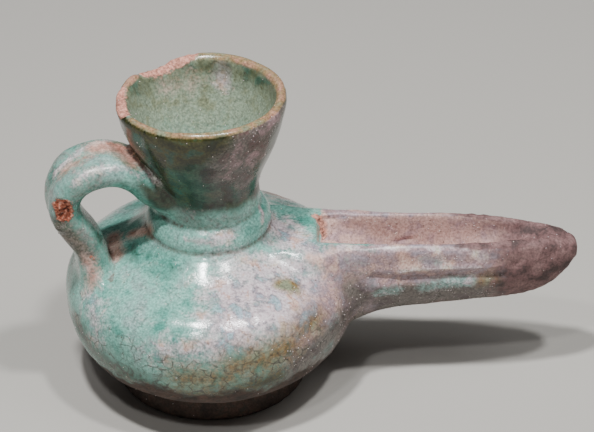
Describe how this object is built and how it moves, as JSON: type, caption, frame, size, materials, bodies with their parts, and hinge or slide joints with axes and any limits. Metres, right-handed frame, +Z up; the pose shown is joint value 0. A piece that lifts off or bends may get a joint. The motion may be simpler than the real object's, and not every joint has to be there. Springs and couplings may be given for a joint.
{
  "type": "glazed oil lamp",
  "caption": "Old fired-clay oil lamp with turquoise glaze: hollow body on a foot, cup-shaped neck, strap handle and a long open spout for the wick.",
  "frame": {"origin": "centre of the foot's flat underside", "axes": "+Z up along the turned body's axis, +X along the spout towards its tip"},
  "size_m": [0.1697, 0.0944, 0.1053],
  "materials": {
    "glazed_clay": "weathered turquoise glaze over pinkish fired clay"
  },
  "bodies": {
    "root": {"oil_lamp": "glazed_clay"}
  },
  "joints": []
}
